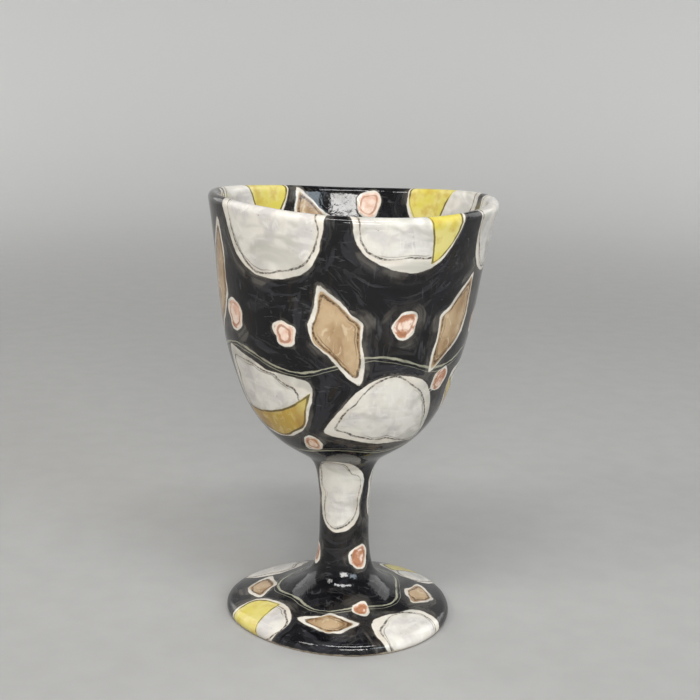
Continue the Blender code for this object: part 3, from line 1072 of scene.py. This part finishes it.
make_piece("foot", 0, foot_end, [(STEM_END_RADIUS, FOOT_TOP), (BORE_RADIUS, FOOT_TOP)])
make_piece("foot_fillet", foot_end, foot_fillet_end, [
    (FILLET_BORE, low_joint), (FILLET_BORE, STEM_FOOT_HEIGHT),
])
make_piece("stem", foot_fillet_end, stem_end, [
    (STEM_END_RADIUS, high_joint), (STEM_END_RADIUS, STEM_TOP), (0.0, STEM_TOP),
    (0.0, BORE_TOP + BORE_RADIUS),
    (CROWN_SHARE * BORE_RADIUS, BORE_TOP + CROWN_SHARE * BORE_RADIUS),
    (BORE_RADIUS, BORE_TOP), (BORE_RADIUS, STEM_FOOT_HEIGHT),
    (STEM_END_RADIUS, STEM_FOOT_HEIGHT), (STEM_END_RADIUS, low_joint),
])
make_piece("bowl_fillet", stem_end, bowl_fillet_end, [(FILLET_BORE, STEM_TOP), (FILLET_BORE, high_joint)])
make_piece("bowl", bowl_fillet_end, len(visible) - 1, [
    (0.0, STEM_TOP_HEIGHT), (STEM_END_RADIUS, STEM_TOP_HEIGHT),
])


# Floor and backdrop, in metres, with the paper's clouds in millimetres

FLOOR_COLOUR = (0.375, 0.37, 0.36)
FLOOR_SHADE = (0.36, 0.355, 0.345)
BACKDROP_COLOUR = (0.76, 0.755, 0.74)
PALE_START = 0.5
PALE_END = 1.7
PAPER_CLOUD_SIZE = 14.0
PAPER_ROUGHNESS = 0.9
FLOOR_SEGMENTS = 96
SWEEP_START = 1.0
SWEEP_RADIUS = 0.9
SWEEP_HEIGHT = 1.2
SWEEP_STEPS = 16


def floor_rings():
    """List rings as (radius, height): the floor's edge, the sweep up from it, and the backdrop's top."""
    rings = []
    for step in range(SWEEP_STEPS + 1):
        turn = 0.5 * math.pi * step / SWEEP_STEPS
        out, up = math.sin(turn), 1.0 - math.cos(turn)
        rings.append((SWEEP_START + SWEEP_RADIUS * out, SWEEP_RADIUS * up))
    return rings + [(SWEEP_START + SWEEP_RADIUS, SWEEP_HEIGHT)]


def studio_paper():
    """Make the floor's finish: faintly clouded paper that grows paler away from the goblet."""
    paper = Finish("studio_paper")
    clouds = paper.step(paper.noise(PAPER_CLOUD_SIZE, 4.0), 0.3, 0.7)
    colour = paper.lay(FLOOR_COLOUR, FLOOR_SHADE, clouds)
    distance = paper.node("ShaderNodeVectorMath", {0: paper.place}, operation="LENGTH")
    away = paper.step(distance.outputs["Value"], PALE_START, PALE_END)
    colour = paper.lay(colour, BACKDROP_COLOUR, away)
    paper.feed(paper.shader, {"Base Color": colour, "Roughness": PAPER_ROUGHNESS})
    return paper.material


def make_floor():
    """Lay a round, pale floor that curves up into a paler backdrop on every side."""
    rings = floor_rings()
    points = [(0.0, 0.0, 0.0)]
    for radius, height in rings:
        for segment in range(FLOOR_SEGMENTS):
            angle = 2.0 * math.pi * segment / FLOOR_SEGMENTS
            points.append((radius * math.cos(angle), radius * math.sin(angle), height))
    faces = []
    for segment in range(FLOOR_SEGMENTS):
        here, there = 1 + segment, 1 + (segment + 1) % FLOOR_SEGMENTS
        faces.append((0, here, there))
        for low in range(0, (len(rings) - 1) * FLOOR_SEGMENTS, FLOOR_SEGMENTS):
            high = low + FLOOR_SEGMENTS
            faces.append((here + low, here + high, there + high, there + low))
    mesh = bpy.data.meshes.new("studio_floor")
    mesh.from_pydata(points, [], faces)
    mesh.shade_smooth()
    mesh.materials.append(studio_paper())
    floor = add_object("studio_floor", mesh)


# Lamps, in metres and watts: name, place, width, height, power and colour

MIDDLE = Vector((0.0, 0.0, 0.09))
PLAIN_LIGHT = (1.0, 1.0, 1.0)
LAMPS = [
    ("window", (0.12, -1.3, 0.57), 0.62, 0.2, 10.0, (1.0, 0.985, 0.96)),
    ("blue_window", (0.9, -1.05, 0.66), 0.58, 0.32, 5.2, (0.76, 0.89, 1.0)),
    ("key", (-0.75, -0.65, 0.95), 0.28, 0.28, 3.3, (1.0, 0.975, 0.94)),
    ("overhead", (0.05, -0.62, 1.17), 0.9, 0.17, 10.0, PLAIN_LIGHT),
    ("back_fill", (-1.18, 0.84, 0.8), 1.0, 1.0, 5.7, PLAIN_LIGHT),
    ("back_fill", (1.18, 0.84, 0.8), 1.0, 1.0, 5.7, PLAIN_LIGHT),
]
ROOM_COLOUR = (0.96, 0.98, 1.0, 1.0)
ROOM_LIGHT = 0.15


def add_lamp(name, place, width, height, power, colour):
    """Hang a soft box that faces the goblet, out of the camera's sight."""
    light = bpy.data.lights.new(name, "AREA")
    light.shape = "RECTANGLE"
    light.size = width
    light.size_y = height
    light.energy = power
    light.color = colour
    lamp = add_object(name, light)
    lamp.location = place
    lamp.visible_camera = False
    lamp.rotation_euler = (MIDDLE - Vector(place)).to_track_quat("-Z", "Y").to_euler()


def make_world():
    """Fill the room with a soft, even grey."""
    world = bpy.data.worlds.new("room")
    bpy.context.scene.world = world
    world.use_nodes = True
    back = world.node_tree.nodes["Background"]
    back.inputs["Color"].default_value = ROOM_COLOUR
    back.inputs["Strength"].default_value = ROOM_LIGHT


# The camera: lengths in millimetres, and its focal length in the photograph's pixels

CAMERA_PLACE = (-1.55, -447.87, 199.007)
CAMERA_PITCH = math.radians(12.708)
CAMERA_YAW = math.radians(0.134)
CAMERA_ROLL = math.radians(0.9)
FOCAL_PIXELS = 1300.0
PHOTO_PIXELS = 700.0
SENSOR = 36.0
NEAR_CLIP = 10.0


def make_camera():
    """Set the camera where the photograph was taken from."""
    data = bpy.data.cameras.new("camera")
    data.sensor_width = SENSOR
    data.lens = FOCAL_PIXELS / PHOTO_PIXELS * SENSOR
    data.clip_start = NEAR_CLIP * MM
    camera = add_object("camera", data)
    forward = Vector((
        math.sin(CAMERA_YAW) * math.cos(CAMERA_PITCH),
        math.cos(CAMERA_YAW) * math.cos(CAMERA_PITCH),
        -math.sin(CAMERA_PITCH),
    ))
    right = forward.cross(Vector((0.0, 0.0, 1.0))).normalized()
    up = right.cross(forward)
    leaning = math.cos(CAMERA_ROLL) * right + math.sin(CAMERA_ROLL) * up
    upright = math.cos(CAMERA_ROLL) * up - math.sin(CAMERA_ROLL) * right
    turn = Matrix((leaning, upright, -forward)).transposed()
    camera.matrix_world = Matrix.Translation(Vector(CAMERA_PLACE) * MM) @ turn.to_4x4()
    bpy.context.scene.camera = camera


make_floor()
for lamp_row in LAMPS:
    add_lamp(*lamp_row)
make_world()
make_camera()
bpy.context.scene.view_settings.view_transform = "Standard"
